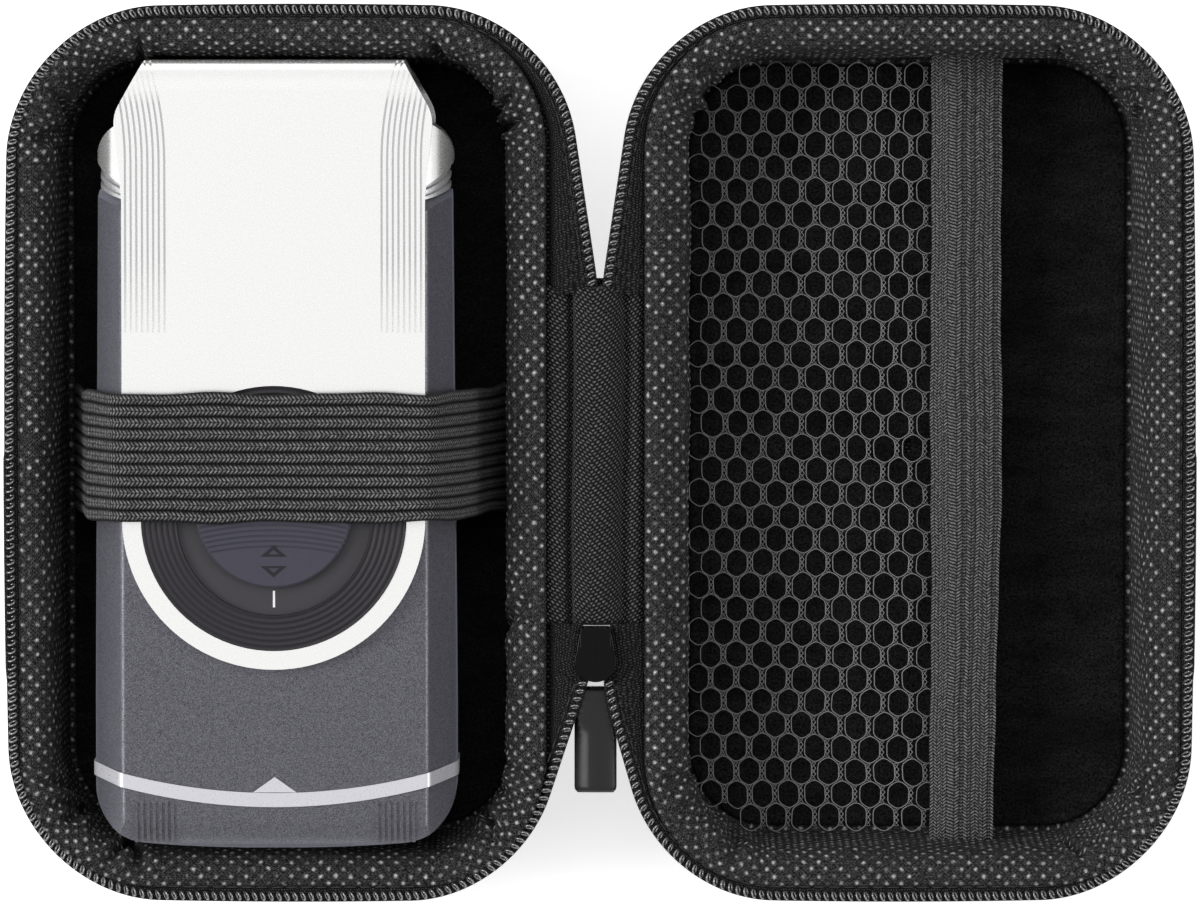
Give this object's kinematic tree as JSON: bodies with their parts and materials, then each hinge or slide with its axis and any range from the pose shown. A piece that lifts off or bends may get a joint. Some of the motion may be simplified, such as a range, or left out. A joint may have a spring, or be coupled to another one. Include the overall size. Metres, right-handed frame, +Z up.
{
  "type": "shaver travel pouch",
  "caption": "Hard zipped travel case, open flat, with a net pocket in the lid and a foil shaver held by an elastic strap.",
  "frame": {"origin": "on the surface that the open case lies on, below the middle of the hinge", "axes": "+Z up out of the open halves, +Y along the hinge towards the shaver's head end, +X from the shaver's half to the lid"},
  "size_m": [0.1862, 0.1406, 0.0387],
  "materials": {
    "nylon_shell": "woven nylon bonded to moulded foam",
    "knit_lining": "knit with pressed dimples",
    "velour": "short matt pile",
    "zip_tape": "woven tape",
    "zip_coil": "shiny nylon loops",
    "elastic": "ribbed woven elastic",
    "spine_cloth": "woven oxford cloth",
    "net": "open hexagonal net",
    "slider_metal": "black lacquer",
    "link_metal": "polished plate",
    "tab_plastic": "satin moulding",
    "body_plastic": "fine metallic speckle, satin",
    "silver_plastic": "silver-white lacquer",
    "dial_plastic": "satin",
    "switch_plastic": "satin",
    "foil_steel": "thin etched sheet",
    "inner_steel": "plated",
    "board": "laminate"
  },
  "bodies": {
    "base": {"base_shell": "nylon_shell", "base_lining": "knit_lining", "base_floor_pad": "velour", "base_zip_tape": "zip_tape", "base_zip_coil": "zip_coil", "retaining_strap": "elastic", "spine_inner": "spine_cloth", "spine_outer": "spine_cloth"},
    "lid": {"lid_shell": "nylon_shell", "lid_lining": "knit_lining", "lid_floor_panel": "velour", "lid_zip_tape": "zip_tape", "lid_zip_coil": "zip_coil", "pocket_net": "net", "pocket_band": "elastic"},
    "slider": {"zip_slider": "slider_metal"},
    "pull": {"pull_link": "link_metal", "pull_tab": "tab_plastic"},
    "shaver": {"shaver_front_housing": "body_plastic", "shaver_rear_housing": "body_plastic", "battery_cover": "body_plastic", "trim_band": "silver_plastic", "trim_pointer": "silver_plastic", "twist_cap": "silver_plastic", "dial_ring": "dial_plastic", "index_ring": "dial_plastic", "head_collar": "silver_plastic", "head_frame": "silver_plastic", "foil_frame": "dial_plastic", "shaving_foil": "foil_steel", "battery_cells": "inner_steel", "cell_contacts": "inner_steel", "drive_motor": "inner_steel", "circuit_board": "board"},
    "cutter": {"cutter_block": "foil_steel"},
    "switch": {"slide_switch": "switch_plastic", "switch_stem": "switch_plastic"}
  },
  "joints": [
    {"name": "lid_fold", "type": "hinge", "parent": "base", "child": "lid", "pos_m": [0, 0, 0.0285], "axis": [0, -1, 0], "range_deg": [0, 180], "deforming": ["spine_inner", "spine_outer"]},
    {"name": "slider_follow", "type": "hinge", "parent": "base", "child": "slider", "pos_m": [0, 0, 0.0285], "axis": [0, -1, 0], "range_deg": [0, 90]},
    {"name": "pull_swing", "type": "hinge", "parent": "slider", "child": "pull", "pos_m": [-0.0007, -0.03206, 0.0251], "axis": [1, 0, 0], "range_deg": [0, 165]},
    {"name": "shaver_lift", "type": "slide", "parent": "base", "child": "shaver", "axis": [0, 0, 1], "range_m": [0, 0.06], "deforming": ["retaining_strap"]},
    {"name": "switch_slide", "type": "slide", "parent": "shaver", "child": "switch", "axis": [0, 1, 0], "range_m": [-0.003, 0]},
    {"name": "cutter_stroke", "type": "slide", "parent": "shaver", "child": "cutter", "axis": [1, 0, 0], "range_m": [-0.0008, 0.0008]}
  ],
  "couplings": [
    {"joint": "slider_follow", "follows": "lid_fold", "ratio": 0.5}
  ]
}
